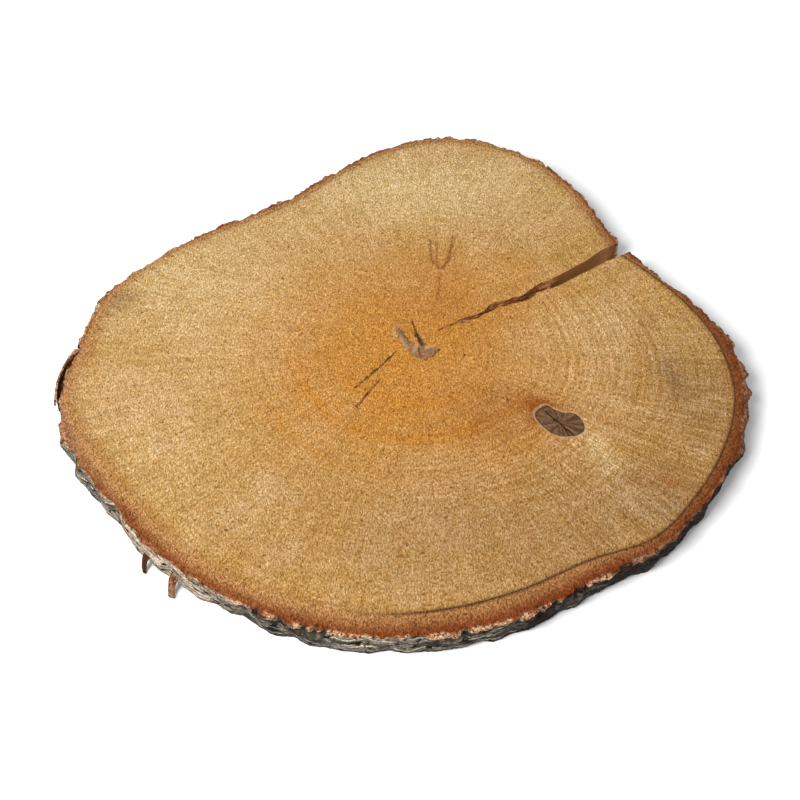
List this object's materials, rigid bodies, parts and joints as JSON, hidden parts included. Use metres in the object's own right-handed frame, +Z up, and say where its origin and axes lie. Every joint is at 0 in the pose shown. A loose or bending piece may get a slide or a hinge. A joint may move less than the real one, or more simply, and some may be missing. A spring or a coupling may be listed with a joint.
{
  "type": "wood slice",
  "caption": "Flat slice sawn across a trunk, with a fuzzy sawn face, an off-centre knot, a radial drying crack open at the rim, and a rough bark edge.",
  "frame": {"origin": "on the underside, under the pith at the upper end of the trunk's lean, in the plane that the slice rests on", "axes": "+Z up through the thickness; the crack opens towards +X and a little +Y; the knot lies towards +X and -Y"},
  "size_m": [0.3886, 0.3844, 0.018],
  "materials": {
    "wood": "rough sawn, fuzzy, unfinished, orange-brown about the pith",
    "bark": "reddish brown where it is sawn, rough grey to black and papery outside"
  },
  "bodies": {
    "root": {"wood": "wood", "bark": "bark"}
  },
  "joints": []
}
